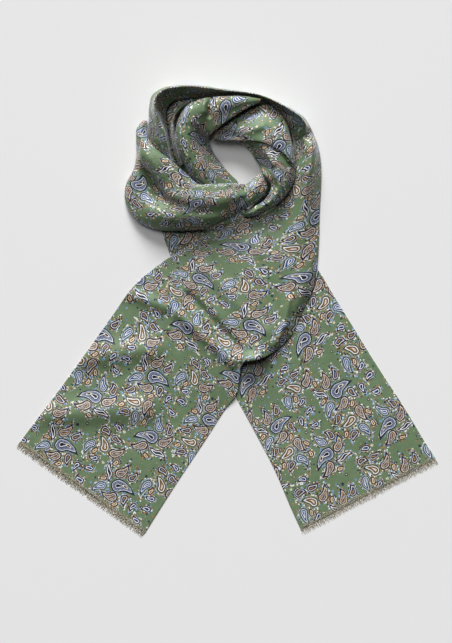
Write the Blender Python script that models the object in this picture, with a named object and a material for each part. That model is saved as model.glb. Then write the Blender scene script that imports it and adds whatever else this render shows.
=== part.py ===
"""A printed silk scarf, wound twice round an open neck and laid flat.

The cloth is one long ribbon. Each stretch of it that shows is its own solid: a wall of doubled silk,
lofted through the sections of a short table. The two ends cross below the neck and carry a short fringe.

Tables hold plan squares for places and millimetres for heights. The plan is seen from above, with its
rows counted downwards, and its squares are worked out from the cloth's real width.
"""

import itertools
import math
import random

import bmesh
import bpy
import numpy as np
from mathutils import Vector

MM = 0.001

# Driving dimensions
CLOTH_WIDTH = 240 * MM
SQUARES_ACROSS = 155
SQUARE = CLOTH_WIDTH / SQUARES_ACROSS
PLAN_MIDDLE = (227.3, 311.13)
WALL = 1.2 * MM
SEAM_GAP = 0.3 * MM

# The hem that is turned under along the edges of the wound stretches: its roll, its depth, the most of
# a section's width that it takes, and how far in its roll ends
HEM_ROLL = 3.5 * MM
HEM_DEPTH = 9 * MM
HEM_SHARE = 0.28
HEM_TURN = 0.3

# The fringe of each end
FRINGE_STRANDS = 60
FRINGE_LENGTH = 11 * MM
FRINGE_LEAN = 0.9 * MM
SHORTEST_STRAND = 0.8
STRAND_TIP = 0.35
STRAND_LIFT = 0.25 * WALL
STRIP_WIDTH = 1.6 * MM
FRINGE_SEED = 7

# Points of a section curve that is measured before it is spaced evenly
FINE_POINTS = 72

# How far across a section each height of its row stands, from its first edge to its second
LEFT_TAIL_PLACES = (0.0, 0.25, 0.5, 0.75, 0.94, 1.0)
RIGHT_TAIL_PLACES = (0.0, 0.25, 0.5, 0.75, 1.0)
VALLEY_BRINK = 0.08
SHOULDER_AT = 0.58
LOWER_PLACES = (0.0, 0.2, 0.42, 0.75, 1.0)
MIDDLE_PLACES = (0.0, 0.25, 0.5, 0.8, 1.0)
INNER_PLACES = (0.0, 0.3, 0.62, 0.86, 1.0)

# Columns: left edge x, y; right edge x, y; heights from the left edge to the right edge
LEFT_TAIL = (
    (19, 443, 145, 533, 1.2, 1.2, 1.2, 1.2, 1.2, 1.2),
    (31, 427, 155, 517, 1.2, 1.2, 1.2, 1.2, 1.2, 1.2),
    (56, 394, 178, 481, 1.5, 2.0, 1.5, 2.4, 1.5, 1.2),
    (85, 354, 204, 442, 1.5, 1.8, 3.0, 1.8, 1.5, 1.2),
    (112, 316, 224, 411, 1.5, 3.0, 5.0, 4.0, 2.0, 1.2),
    (132, 288, 237.5, 391, 1.5, 4.5, 7.0, 6.5, 6.0, 5.5),
    (144, 276, 240, 375, 1.5, 7.0, 9.5, 9.5, 9.0, 8.5),
    (153, 269, 243.5, 363, 2.0, 8.0, 10.5, 11.0, 14.0, 15.0),
    (161, 263, 257.5, 360, 3.5, 8.5, 11.0, 12.0, 17.0, 17.0),
    (169, 257.5, 271.5, 353.5, 4.5, 8.5, 10.5, 12.5, 15.0, 9.0),
    (183, 249, 290.5, 337, 5.0, 8.0, 11.5, 13.0, 14.0, 5.5),
    (195, 241, 302.5, 312, 5.5, 8.0, 12.0, 14.0, 14.0, 5.0),
    (207, 234, 312.5, 290, 5.5, 8.0, 12.5, 15.0, 14.0, 5.0),
    (224, 228, 317, 266.5, 5.5, 8.0, 12.5, 16.0, 11.0, 3.5),
    (240, 217, 319, 240, 5.0, 7.0, 11.0, 18.0, 8.0, 3.0),
    (253, 205, 320, 212, 4.0, 7.0, 12.0, 21.0, 7.5, 2.0),
    (262, 192, 321, 191, 3.5, 6.5, 14.5, 26.0, 9.0, 2.0),
    (272, 176, 321.5, 172, 3.0, 7.2, 18.4, 30.0, 10.0, 2.0),
    (286, 160, 320, 154, 3.0, 10.0, 23.0, 31.0, 10.5, 2.0),
    (295, 148, 317, 142, 7.0, 16.0, 27.0, 27.0, 9.5, 2.0),
    (295, 140.8, 312.5, 131, 6.0, 12.5, 21.0, 14.0, 6.0, 2.5),
)

# Columns: left edge x, y; right edge x, y; heights from the left edge to the right edge
RIGHT_TAIL = (
    (301, 530, 436, 459, 1.2, 1.2, 1.2, 1.2, 1.2),
    (294, 515, 427, 445, 1.2, 1.2, 1.2, 1.2, 1.2),
    (275, 471, 404, 407, 1.2, 2.5, 1.2, 3.0, 1.2),
    (258, 438, 378, 367, 1.2, 1.2, 3.0, 1.4, 1.2),
    (240, 405, 352, 325, 1.2, 2.2, 3.6, 3.0, 1.2),
    (222, 372, 333, 294, 1.2, 1.8, 2.6, 3.6, 1.2),
    (207, 343, 317, 268, 1.2, 1.6, 2.0, 2.4, 1.2),
    (191, 306, 294, 241, 1.2, 1.8, 2.0, 1.8, 1.2),
    (176, 270, 268, 220, 1.2, 2.0, 2.5, 2.0, 1.2),
    (166, 244, 246, 208, 1.2, 2.0, 2.2, 1.8, 1.2),
    (160, 226, 228, 202, 1.2, 1.8, 2.0, 1.6, 1.2),
)

# Columns: upper edge x, y; lower edge x, y; how far across the crest and the valley stand;
# heights of lip, crest, brink, valley, shoulder and edge
FRONT_BAND = (
    (147.2, 121, 142.5, 120, 0.3, 0.6, 4, 6, 8, 8, 7, 3),
    (147, 130, 137.6, 128.5, 0.3, 0.6, 12, 18, 22, 23, 22, 4),
    (149, 140, 136.8, 141, 0.3, 0.7, 26, 32, 33, 32, 27, 4),
    (156, 149, 136.6, 154, 0.3, 0.85, 37, 43, 38, 28, 18, 4),
    (167, 158, 134, 169, 0.25, 0.75, 41, 47, 36, 21, 20, 4),
    (178, 167, 127.5, 181, 0.22, 0.56, 40, 47, 37, 14, 22, 3),
    (188, 176, 124.8, 193, 0.22, 0.5, 38, 46, 38, 12, 22, 3),
    (198, 184.5, 127.5, 207, 0.22, 0.5, 38, 46, 41, 20, 24, 4),
    (209, 184.5, 137, 220, 0.22, 0.52, 38, 46, 44, 34, 30, 6),
    (221, 184, 157, 229, 0.22, 0.52, 36, 46, 45, 42, 35, 6),
    (232, 183.5, 182, 230.5, 0.22, 0.52, 34, 45, 45, 42, 35, 6.4),
    (240, 184.5, 207, 228, 0.22, 0.52, 30, 43, 43, 40, 34, 9.6),
    (247, 184, 229, 219, 0.22, 0.52, 22, 36, 38, 36, 31, 11),
    (251, 180.5, 244.5, 209.5, 0.22, 0.52, 18, 31, 33, 32, 29, 17),
    (255, 177, 258.5, 200.5, 0.22, 0.52, 16, 27, 30, 30, 27, 19),
    (259, 173.5, 267.6, 190.5, 0.25, 0.55, 14, 24, 26, 25, 23, 17),
    (261.2, 171.9, 269, 183.5, 0.3, 0.6, 12, 18, 19, 18, 16, 12),
)

# Columns: neck edge x, y; outer edge x, y; heights of foot, wall, crest, shoulder and edge
LOWER_TURN = (
    (237, 142, 256, 126, 8, 16, 23, 24, 16),
    (245.2, 146.5, 272, 133, 3, 20, 32, 33, 20),
    (251.4, 152, 283, 141, 3, 23, 38, 36, 20),
    (256, 160, 291, 152, 3, 25, 41, 37, 18),
    (260.5, 167.5, 294, 167, 8, 28, 42, 37, 20),
    (264, 175.5, 294, 180, 26, 34, 41, 36, 19),
    (271, 184.5, 289.5, 190, 28, 33, 38, 33, 18),
    (269.5, 193, 282, 200, 27, 31, 35, 31, 17),
    (263.5, 201, 273, 207.5, 25, 28, 31, 28, 16),
    (254.5, 206.5, 261, 213.5, 21, 24, 26, 23, 15),
    (246, 211, 250, 217, 14, 18, 21, 19, 14),
    (241.4, 212.2, 243.4, 217, 12, 13.5, 15, 14, 12),
)

# Columns: lip x, y; outer edge x, y; heights of lip, inner slope, crest, back and edge
MIDDLE_TURN = (
    (212, 140.5, 222, 122, 20, 24, 27, 26, 22),
    (222, 141, 238, 113, 22, 27, 30, 27, 22),
    (236, 141, 253, 108, 27, 33, 35, 29, 23),
    (250, 141.5, 266, 105.5, 35, 39, 39, 31, 23),
    (262, 143, 278, 112, 41, 43, 42, 34, 23),
    (271, 147, 286.5, 124, 42, 45, 44, 36, 24),
    (280, 152, 290, 137, 42, 44, 43, 37, 24),
    (287.5, 158, 293, 149, 40, 41, 39, 34, 26),
    (292.5, 165, 295, 160, 34, 34, 33, 30, 26),
)

# Columns: neck edge x, y; outer edge x, y; heights of foot, wall, crest, back and edge
INNER_TURN = (
    (243, 190, 203, 197, 4, 10, 15, 17, 12),
    (238, 182, 199, 187.5, 3, 12, 22, 26, 16),
    (228, 172, 189.5, 173, 3, 18, 34, 37, 18),
    (219.5, 161.5, 183, 160, 3, 24, 42, 43, 20),
    (212, 151, 178.5, 147.5, 3, 28, 46, 46, 20),
    (208.5, 142, 176.5, 135, 4, 31, 48, 48, 22),
    (208, 137.5, 179, 121, 14, 35, 49, 49, 24),
    (210.5, 135, 186, 108, 32, 42, 50, 50, 28),
    (215, 131, 198, 101, 37, 45, 51, 50, 30),
    (222, 126, 213, 98, 39, 46, 51, 50, 31),
    (232, 118.5, 228, 97.3, 40, 45, 50, 49, 31),
    (243, 111.5, 243, 97.2, 41, 45, 48, 47, 32),
    (253, 106, 254, 98.5, 41, 43, 44, 43, 34),
    (260.5, 102.5, 261.5, 99.5, 38, 39, 39.5, 39, 35),
)

# Columns: foot x, y; heel x, y; how far across the rim stands, its height, and the heel's height
OUTER_TURN = (
    (178, 196, 195, 191, 0.6, 15, 6),
    (167, 184, 187, 178, 0.66, 22, 8),
    (159, 170, 178, 166.5, 0.78, 31, 10),
    (153, 157, 172, 154.5, 0.84, 39, 12),
    (150, 144, 168.8, 142, 0.87, 49, 12),
    (149, 131, 167, 129.5, 0.78, 53, 12),
    (149.5, 118, 166, 119.5, 0.52, 55, 10),
    (150, 107, 166, 111, 0.32, 57, 8),
    (153, 96, 169, 104.5, 0.22, 58, 8),
    (162, 89.5, 174, 101, 0.16, 57, 8),
    (176, 86.5, 184, 99, 0.14, 54, 8),
    (198, 86.2, 200, 97.5, 0.16, 50, 8),
    (222, 89.2, 221.5, 96.3, 0.26, 46, 9),
    (244, 91.8, 243, 96.2, 0.36, 44, 12),
    (259, 94.5, 257, 98, 0.36, 43, 15),
    (272, 99.3, 267.8, 102.2, 0.34, 44, 15),
    (284, 105.2, 275.6, 107.2, 0.28, 44, 14),
    (294, 110.8, 282.3, 114, 0.22, 43, 14),
    (303.5, 117.5, 286.8, 122, 0.18, 41, 14),
    (308.8, 125, 291, 129.5, 0.20, 34, 12),
    (312.3, 130.7, 294.8, 140.5, 0.50, 21, 6),
)

# Columns: crest x, y; height of the crest
STANDING_FOLD = (
    (190.4, 103.7, 24),
    (182.4, 107.3, 31),
    (176, 113.8, 34),
    (172.9, 122, 37),
    (172.8, 131, 40),
    (174, 141, 41),
    (176.3, 150.3, 39),
    (179, 158.2, 34),
    (181.8, 165.2, 27),
)
FOLD_HALF_WIDTH = 3.4 * MM
FOLD_FOOT = 12.6 * MM
FOLD_SHOULDER_HEIGHT = 0.72
FOLD_SHOULDER_WIDTH = 0.75

# Columns: inner edge x, y; outer edge x, y; height of the layers
HIDDEN_LAYERS = (
    (201, 182, 193, 186, 4),
    (203, 172, 188, 178, 5),
    (203, 160, 177.5, 165, 8),
    (200, 148, 168.5, 149, 11),
    (199, 136, 166.5, 134, 11),
    (200, 125, 164.8, 120, 11),
    (205, 116, 167.5, 106.5, 11),
    (214, 111, 179, 99.2, 12.2),
    (226, 109, 204, 97.2, 12.2),
    (240, 108, 232, 97.5, 11),
    (251, 109, 254.5, 98.5, 12),
    (262, 113, 269.5, 103.5, 12),
    (272, 120, 282.5, 114, 12),
    (278, 130, 290.5, 129, 11),
    (280, 141, 293.5, 141.5, 9),
)
LAYERS_PLACES = (0.0, 0.12, 0.5, 0.88, 1.0)
LAYERS_SHARES = (0.1, 0.75, 1.0, 0.8, 0.3)

# Soft creases of the flat ends. Columns: from x, y; to x, y; height, negative for a trough; half width
LEFT_CREASES = (
    (189, 296, 240, 349, -6, 7),
    (178, 314, 232, 362, 4.5, 8),
    (122, 291, 165, 307, 4.5, 10),
    (86, 357, 152, 349, 6.5, 19),
    (50, 415, 146, 408, 6, 19),
    (205, 268, 262, 330, 2.5, 10),
    (262, 262, 282, 330, -2.0, 9),
)
INNER_CREASES = (
    (212.5, 100, 209, 116, -7, 4),
    (208, 100, 205, 114, 2, 6),
)

# The outer turn's wall: its foot in millimetres, the bulge of its outer face and the hollow of its inner
# one, each by its place and its share of the rim's height
FOOT_HEIGHT = 3
BULGE_AT, OUTER_BULGE = 0.4, 0.55
HOLLOW_AT, INNER_HOLLOW = 0.45, 0.62

# Colours, roughness
SILK = ((0.135, 0.215, 0.105, 1.0), 0.5)
YARN = ((0.36, 0.31, 0.2, 1.0), 0.8)


def clear_scene():
    for item in list(bpy.data.objects):
        bpy.data.objects.remove(item)


def material(name, colour, roughness):
    made = bpy.data.materials.new(name)
    made.use_nodes = True
    shader = made.node_tree.nodes["Principled BSDF"]
    shader.inputs["Base Color"].default_value = colour
    shader.inputs["Roughness"].default_value = roughness
    shader.inputs["Metallic"].default_value = 0.0
    return made


def on_plan(x, y, height=0.0):
    """The point over a place on the plan, in metres."""
    return np.array([(x - PLAN_MIDDLE[0]) * SQUARE, (PLAN_MIDDLE[1] - y) * SQUARE, height])


def smooth_curve(places, points, wanted):
    """Where the smooth curve that passes the points at those places is at the places wanted."""
    places, points, wanted = (np.asarray(values, float) for values in (places, points, wanted))
    slopes = np.gradient(points, places, axis=0)
    index = np.clip(np.searchsorted(places, wanted, side="right") - 1, 0, len(places) - 2)
    step = (places[index + 1] - places[index])[:, None]
    t = (wanted - places[index])[:, None] / step
    return (
        (1 + 2 * t) * (1 - t) ** 2 * points[index]
        + t * (1 - t) ** 2 * step * slopes[index]
        + t * t * (3 - 2 * t) * points[index + 1]
        + t * t * (t - 1) * step * slopes[index + 1]
    )


def running_length(points):
    steps = np.linalg.norm(np.diff(points, axis=0), axis=1)
    return np.concatenate([[0.0], np.cumsum(steps)])


def evenly_spaced(points, segments):
    """The same curve with its points the same distance apart."""
    length = running_length(points)
    wanted = np.linspace(0.0, length[-1], segments + 1)
    return np.stack([np.interp(wanted, length, points[:, axis]) for axis in range(3)], axis=1)


def between_rows(rows, segments):
    """A table's rows, blended smoothly and spaced evenly along the stretch."""
    rows = np.asarray(rows, float)
    middles = (rows[:, 0:2] + rows[:, 2:4]) / 2
    length = running_length(middles)
    return smooth_curve(length, rows, np.linspace(0.0, length[-1], segments + 1))


def hem_knots(edge, inward, width):
    """The two points of a hem that is turned under below an edge, the deeper one first."""
    depth = min(HEM_DEPTH, HEM_SHARE * width)
    knots = [edge + inward * depth, edge + inward * depth * HEM_TURN]
    for knot in knots:
        knot[2] = max(0.0, edge[2] - HEM_ROLL)
    return knots


def section(row, places, hemmed, segments):
    """One section of a stretch, as evenly spaced points from its first edge to its second."""
    first, second = on_plan(*row[0:2]), on_plan(*row[2:4])
    width = np.linalg.norm(second - first)
    across = (second - first) / width
    knots = []
    for place, height in zip(places, row[4:]):
        knots.append(first + (second - first) * place + (0.0, 0.0, height * MM))
    if hemmed:
        first_hem = hem_knots(knots[0], across, width)
        second_hem = hem_knots(knots[-1], -across, width)
        knots = first_hem + knots + second_hem[::-1]
    length = running_length(np.array(knots))
    curve = smooth_curve(length, knots, np.linspace(0.0, length[-1], FINE_POINTS))
    curve[:, 2] = np.maximum(curve[:, 2], 0.0 if hemmed else WALL)
    return evenly_spaced(curve, segments)


def outer_turn_rows():
    """The outer turn's rows with all five heights, and the place of each height."""
    rows, places = [], []
    for *ends, rim_at, rim, heel in OUTER_TURN:
        rows.append((*ends, FOOT_HEIGHT, OUTER_BULGE * rim, rim, INNER_HOLLOW * rim, heel))
        inside = rim_at + HOLLOW_AT * (1 - rim_at)
        places.append((0.0, BULGE_AT * rim_at, rim_at, inside, 1.0))
    return rows, places


def front_band_rows():
    """The front band's rows of heights, and the place of each height."""
    rows, places = [], []
    for upper_x, upper_y, lower_x, lower_y, crest_at, valley_at, *heights in FRONT_BAND:
        rows.append((upper_x, upper_y, lower_x, lower_y, *heights))
        shoulder_at = valley_at + SHOULDER_AT * (1 - valley_at)
        places.append((0.0, crest_at, valley_at - VALLEY_BRINK, valley_at, shoulder_at, 1.0))
    return rows, places


def crease_lift(point, creases):
    """How much the creases lift or lower the cloth at a point."""
    lift = 0.0
    for from_x, from_y, to_x, to_y, height, half_width in creases:
        start, end = on_plan(from_x, from_y)[:2], on_plan(to_x, to_y)[:2]
        along = end - start
        share = np.dot(point[:2] - start, along) / np.dot(along, along)
        nearest = start + along * np.clip(share, 0.0, 1.0)
        off = np.linalg.norm(point[:2] - nearest) / (half_width * MM)
        lift += height * MM * math.exp(-(off**2))
    return lift


def surface_through(sections):
    """A surface that passes the sections' points, with its faces turned up where it is highest."""
    along, across = len(sections) - 1, len(sections[0]) - 1
    bm = bmesh.new()
    bmesh.ops.create_grid(bm, x_segments=along, y_segments=across, size=0.5)
    for vertex in bm.verts:
        i = round((vertex.co.x + 0.5) * along)
        j = round((vertex.co.y + 0.5) * across)
        vertex.co = Vector(sections[i][j])
    bm.normal_update()
    highest = max(bm.faces, key=lambda face: face.calc_center_median().z)
    if highest.normal.z < 0:
        bmesh.ops.reverse_faces(bm, faces=bm.faces[:])
    return bm


def object_of(name, bm, finish):
    mesh = bpy.data.meshes.new(name)
    bm.to_mesh(mesh)
    bm.free()
    mesh.materials.append(finish)
    made = bpy.data.objects.new(name, mesh)
    bpy.context.scene.collection.objects.link(made)
    return made


def cloth_wall(name, sections, finish):
    """A wall of cloth whose outer face passes the sections' points."""
    made = object_of(name, surface_through(sections), finish)
    made.data.shade_smooth()
    wall = made.modifiers.new("wall", "SOLIDIFY")
    wall.thickness = WALL
    wall.offset = -1
    wall.use_quality_normals = True


def wound_stretch(name, rows, places, creases, along, across, finish):
    """A stretch that is wound round the neck, with its edges turned under."""
    lines = [(*row[0:4], *at) for row, at in zip(rows, places)]
    places = between_rows(lines, along)[:, 4:]
    sections = [section(row, at, True, across) for row, at in zip(between_rows(rows, along), places)]
    for point in itertools.chain(*sections):
        point[2] = max(0.0, point[2] + crease_lift(point, creases))
    cloth_wall(name, sections, finish)


def hidden_layers(name, along, across, finish):
    """The layers under the turns, as one low rounded solid with a flat underside."""
    rows = [(*ends, *(height * share for share in LAYERS_SHARES)) for *ends, height in HIDDEN_LAYERS]
    spaced = between_rows(rows, along)
    bm = surface_through([section(row, LAYERS_PLACES, False, across) for row in spaced])
    made = bmesh.ops.extrude_face_region(bm, geom=bm.faces[:], use_keep_orig=True)
    for item in made["geom"]:
        if isinstance(item, bmesh.types.BMVert):
            item.co.z = 0.0
    bmesh.ops.recalc_face_normals(bm, faces=bm.faces[:])
    object_of(name, bm, finish)


def flat_end(name, rows, places, creases, along, across, finish):
    """An end of the scarf that lies flat, with its soft creases."""
    sections = [section(row, places, False, across) for row in between_rows(rows, along)]
    for point in itertools.chain(*sections):
        if point[2] > WALL:
            point[2] = max(WALL, point[2] + crease_lift(point, creases))
    cloth_wall(name, sections, finish)


def standing_fold(name, along, across, finish):
    """A narrow fold that stands between two turns, as a ridge along its crest line."""
    crest = np.array([on_plan(x, y, height * MM) for x, y, height in STANDING_FOLD])
    length = running_length(crest)
    crest = smooth_curve(length, crest, np.linspace(0.0, length[-1], along + 1))
    sections = []
    for point, ahead in zip(crest, np.gradient(crest, axis=0)):
        side = np.array([-ahead[1], ahead[0], 0.0])
        side *= FOLD_HALF_WIDTH / np.linalg.norm(side)
        foot = np.array([point[0], point[1], FOLD_FOOT])
        shoulder = np.array([point[0], point[1], FOLD_SHOULDER_HEIGHT * point[2]])
        left = [foot + side, shoulder + side * FOLD_SHOULDER_WIDTH]
        right = [shoulder - side * FOLD_SHOULDER_WIDTH, foot - side]
        knots = left + [point] + right
        measured = running_length(np.array(knots))
        curve = smooth_curve(measured, knots, np.linspace(0.0, measured[-1], FINE_POINTS))
        sections.append(evenly_spaced(curve, across))
    cloth_wall(name, sections, finish)


def along_x(face):
    return face.calc_center_median().x


def fringe(name, end_row, finish, draw):
    """A narrow strip along a cut end, with strands drawn out of its outer face."""
    first, second = on_plan(*end_row[0:2]), on_plan(*end_row[2:4])
    length = float(np.linalg.norm(second - first))
    bm = bmesh.new()
    bmesh.ops.create_cube(bm, size=1.0)
    bmesh.ops.scale(bm, vec=(length, STRIP_WIDTH, WALL), verts=bm.verts)
    bmesh.ops.translate(bm, vec=(0, STRIP_WIDTH / 2 + SEAM_GAP, WALL / 2), verts=bm.verts)
    long_edges = [edge for edge in bm.edges if edge.calc_length() > length / 2]
    bmesh.ops.subdivide_edges(bm, edges=long_edges, cuts=2 * FRINGE_STRANDS, use_grid_fill=True)
    bm.normal_update()
    outer_faces = sorted((face for face in bm.faces if face.normal.y > 0.5), key=along_x)
    strands = bmesh.ops.extrude_discrete_faces(bm, faces=outer_faces[1::2])["faces"]
    reach = FRINGE_LENGTH - STRIP_WIDTH - SEAM_GAP
    for face in sorted(strands, key=along_x):
        middle = face.calc_center_median()
        lean = draw.uniform(-FRINGE_LEAN, FRINGE_LEAN)
        tip = middle + Vector((lean, reach * draw.uniform(SHORTEST_STRAND, 1.0), 0.0))
        tip.z += STRAND_LIFT * draw.random()
        for vertex in face.verts:
            vertex.co = tip + (vertex.co - middle) * STRAND_TIP
    made = object_of(name, bm, finish)
    made.location = (first + second) / 2
    made.rotation_euler.z = math.atan2(first[1] - second[1], first[0] - second[0])


def build():
    clear_scene()
    silk = material("silk", *SILK)
    yarn = material("yarn", *YARN)
    draw = random.Random(FRINGE_SEED)
    lower_places = [LOWER_PLACES] * len(LOWER_TURN)
    middle_places = [MIDDLE_PLACES] * len(MIDDLE_TURN)
    inner_places = [INNER_PLACES] * len(INNER_TURN)
    flat_end("right_tail", RIGHT_TAIL, RIGHT_TAIL_PLACES, (), 20, 8, silk)
    flat_end("left_tail", LEFT_TAIL, LEFT_TAIL_PLACES, LEFT_CREASES, 48, 16, silk)
    wound_stretch("front_band", *front_band_rows(), (), 36, 16, silk)
    wound_stretch("lower_turn", LOWER_TURN, lower_places, (), 20, 14, silk)
    wound_stretch("middle_turn", MIDDLE_TURN, middle_places, (), 18, 12, silk)
    wound_stretch("inner_turn", INNER_TURN, inner_places, INNER_CREASES, 30, 12, silk)
    wound_stretch("outer_turn", *outer_turn_rows(), (), 38, 12, silk)
    standing_fold("standing_fold", 16, 8, silk)
    hidden_layers("hidden_layers", 24, 8, silk)
    fringe("left_fringe", LEFT_TAIL[0], yarn, draw)
    fringe("right_fringe", RIGHT_TAIL[0], yarn, draw)


build()
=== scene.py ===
"""How the wound silk scarf looks: its cloth, its folds, its printed pattern and its fringe.

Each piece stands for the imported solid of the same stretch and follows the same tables, with finer folds.
The cloth carries its own measure: a map in metres across and along it, which the print is drawn on."""

import itertools
import math
import random

import bmesh
import bpy
import numpy as np
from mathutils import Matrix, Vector


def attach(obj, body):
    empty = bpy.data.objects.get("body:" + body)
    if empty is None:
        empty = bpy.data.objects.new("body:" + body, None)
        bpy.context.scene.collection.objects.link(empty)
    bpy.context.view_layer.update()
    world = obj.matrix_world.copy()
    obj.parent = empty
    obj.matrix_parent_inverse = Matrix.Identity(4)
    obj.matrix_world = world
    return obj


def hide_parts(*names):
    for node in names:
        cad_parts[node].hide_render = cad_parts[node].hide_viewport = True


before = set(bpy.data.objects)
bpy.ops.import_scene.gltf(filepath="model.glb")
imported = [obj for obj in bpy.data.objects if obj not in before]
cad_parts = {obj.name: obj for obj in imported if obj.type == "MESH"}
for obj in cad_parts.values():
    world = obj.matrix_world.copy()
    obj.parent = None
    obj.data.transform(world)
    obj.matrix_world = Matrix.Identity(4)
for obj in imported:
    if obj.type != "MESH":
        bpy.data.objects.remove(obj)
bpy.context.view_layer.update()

MM = 0.001

# The plan: seen from above, rows counted downwards, its squares worked out from the cloth's real width
CLOTH_WIDTH = 240 * MM
SQUARES_ACROSS = 155
SQUARE = CLOTH_WIDTH / SQUARES_ACROSS
PLAN_MIDDLE = (227.3, 311.13)
WALL = 1.2 * MM

# The hem that is turned under along the edges of the wound stretches: its roll, its depth, the most of
# a section's width that it takes, and how far in its roll ends
HEM_ROLL = 3.5 * MM
HEM_DEPTH = 9 * MM
HEM_SHARE = 0.28
HEM_TURN = 0.3

# Points of a section curve that is measured before it is spaced evenly
FINE_POINTS = 150

# How far across a section each height of its row stands, from its first edge to its second
LEFT_TAIL_PLACES = (0.0, 0.25, 0.5, 0.75, 0.94, 1.0)
RIGHT_TAIL_PLACES = (0.0, 0.25, 0.5, 0.75, 1.0)
VALLEY_BRINK = 0.08
SHOULDER_AT = 0.58
LOWER_PLACES = (0.0, 0.2, 0.42, 0.75, 1.0)
MIDDLE_PLACES = (0.0, 0.25, 0.5, 0.8, 1.0)
INNER_PLACES = (0.0, 0.3, 0.62, 0.86, 1.0)

# Columns: left edge x, y; right edge x, y; heights from the left edge to the right edge
LEFT_TAIL = (
    (19, 443, 145, 533, 1.2, 1.2, 1.2, 1.2, 1.2, 1.2),
    (31, 427, 155, 517, 1.2, 1.2, 1.2, 1.2, 1.2, 1.2),
    (56, 394, 178, 481, 1.5, 2.0, 1.5, 2.4, 1.5, 1.2),
    (85, 354, 204, 442, 1.5, 1.8, 3.0, 1.8, 1.5, 1.2),
    (112, 316, 224, 411, 1.5, 3.0, 5.0, 4.0, 2.0, 1.2),
    (132, 288, 237.5, 391, 1.5, 4.5, 7.0, 6.5, 6.0, 5.5),
    (144, 276, 240, 375, 1.5, 7.0, 9.5, 9.5, 9.0, 8.5),
    (153, 269, 243.5, 363, 2.0, 8.0, 10.5, 11.0, 14.0, 15.0),
    (161, 263, 257.5, 360, 3.5, 8.5, 11.0, 12.0, 17.0, 17.0),
    (169, 257.5, 271.5, 353.5, 4.5, 8.5, 10.5, 12.5, 15.0, 9.0),
    (183, 249, 290.5, 337, 5.0, 8.0, 11.5, 13.0, 14.0, 5.5),
    (195, 241, 302.5, 312, 5.5, 8.0, 12.0, 14.0, 14.0, 5.0),
    (207, 234, 312.5, 290, 5.5, 8.0, 12.5, 15.0, 14.0, 5.0),
    (224, 228, 317, 266.5, 5.5, 8.0, 12.5, 16.0, 11.0, 3.5),
    (240, 217, 319, 240, 5.0, 7.0, 11.0, 18.0, 8.0, 3.0),
    (253, 205, 320, 212, 4.0, 7.0, 12.0, 21.0, 7.5, 2.0),
    (262, 192, 321, 191, 3.5, 6.5, 14.5, 26.0, 9.0, 2.0),
    (272, 176, 321.5, 172, 3.0, 7.2, 18.4, 30.0, 10.0, 2.0),
    (286, 160, 320, 154, 3.0, 10.0, 23.0, 31.0, 10.5, 2.0),
    (295, 148, 317, 142, 7.0, 16.0, 27.0, 27.0, 9.5, 2.0),
    (295, 140.8, 312.5, 131, 6.0, 12.5, 21.0, 14.0, 6.0, 2.5),
)

# The same columns
RIGHT_TAIL = (
    (301, 530, 436, 459, 1.2, 1.2, 1.2, 1.2, 1.2),
    (294, 515, 427, 445, 1.2, 1.2, 1.2, 1.2, 1.2),
    (275, 471, 404, 407, 1.2, 2.5, 1.2, 3.0, 1.2),
    (258, 438, 378, 367, 1.2, 1.2, 3.0, 1.4, 1.2),
    (240, 405, 352, 325, 1.2, 2.2, 3.6, 3.0, 1.2),
    (222, 372, 333, 294, 1.2, 1.8, 2.6, 3.6, 1.2),
    (207, 343, 317, 268, 1.2, 1.6, 2.0, 2.4, 1.2),
    (191, 306, 294, 241, 1.2, 1.8, 2.0, 1.8, 1.2),
    (176, 270, 268, 220, 1.2, 2.0, 2.5, 2.0, 1.2),
    (166, 244, 246, 208, 1.2, 2.0, 2.2, 1.8, 1.2),
    (160, 226, 228, 202, 1.2, 1.8, 2.0, 1.6, 1.2),
)

# Columns: upper edge x, y; lower edge x, y; how far across the crest and the valley stand;
# heights of lip, crest, brink, valley, shoulder and edge
FRONT_BAND = (
    (147.2, 121, 142.5, 120, 0.3, 0.6, 4, 6, 8, 8, 7, 3),
    (147, 130, 137.6, 128.5, 0.3, 0.6, 12, 18, 22, 23, 22, 4),
    (149, 140, 136.8, 141, 0.3, 0.7, 26, 32, 33, 32, 27, 4),
    (156, 149, 136.6, 154, 0.3, 0.85, 37, 43, 38, 28, 18, 4),
    (167, 158, 134, 169, 0.25, 0.75, 41, 47, 36, 21, 20, 4),
    (178, 167, 127.5, 181, 0.22, 0.56, 40, 47, 37, 14, 22, 3),
    (188, 176, 124.8, 193, 0.22, 0.5, 38, 46, 38, 12, 22, 3),
    (198, 184.5, 127.5, 207, 0.22, 0.5, 38, 46, 41, 20, 24, 4),
    (209, 184.5, 137, 220, 0.22, 0.52, 38, 46, 44, 34, 30, 6),
    (221, 184, 157, 229, 0.22, 0.52, 36, 46, 45, 42, 35, 6),
    (232, 183.5, 182, 230.5, 0.22, 0.52, 34, 45, 45, 42, 35, 6.4),
    (240, 184.5, 207, 228, 0.22, 0.52, 30, 43, 43, 40, 34, 9.6),
    (247, 184, 229, 219, 0.22, 0.52, 22, 36, 38, 36, 31, 11),
    (251, 180.5, 244.5, 209.5, 0.22, 0.52, 18, 31, 33, 32, 29, 17),
    (255, 177, 258.5, 200.5, 0.22, 0.52, 16, 27, 30, 30, 27, 19),
    (259, 173.5, 267.6, 190.5, 0.25, 0.55, 14, 24, 26, 25, 23, 17),
    (261.2, 171.9, 269, 183.5, 0.3, 0.6, 12, 18, 19, 18, 16, 12),
)

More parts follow.
